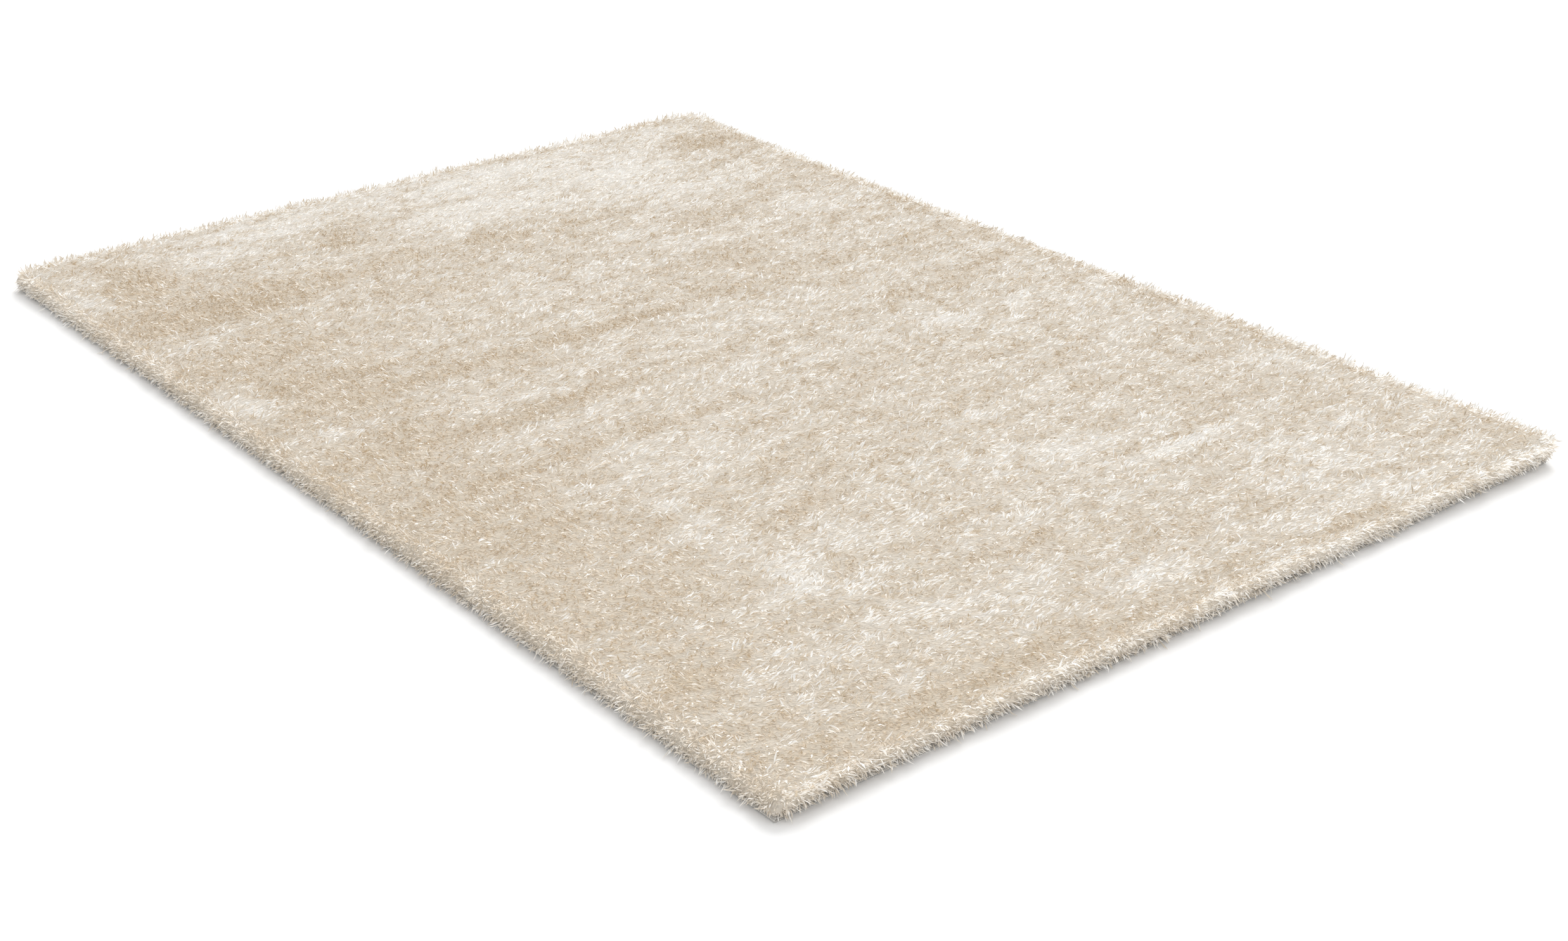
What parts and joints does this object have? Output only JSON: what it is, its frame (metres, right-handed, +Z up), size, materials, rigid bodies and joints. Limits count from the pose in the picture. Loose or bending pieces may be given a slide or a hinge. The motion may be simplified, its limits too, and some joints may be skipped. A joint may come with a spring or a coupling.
{
  "type": "shag rug",
  "caption": "Rectangular shag rug with a deep soft pile on a woven ground cloth, lying flat on a floor.",
  "frame": {"origin": "on the floor, under the middle of the rug", "axes": "+X along the rug's long side, +Y along its short side, +Z up out of the pile"},
  "size_m": [2.344, 1.644, 0.045],
  "materials": {
    "woven_cloth": "matte plain weave",
    "pile_yarn": "soft glossy polyester yarn"
  },
  "bodies": {
    "root": {"ground_cloth": "woven_cloth", "pile": "pile_yarn"}
  },
  "joints": []
}
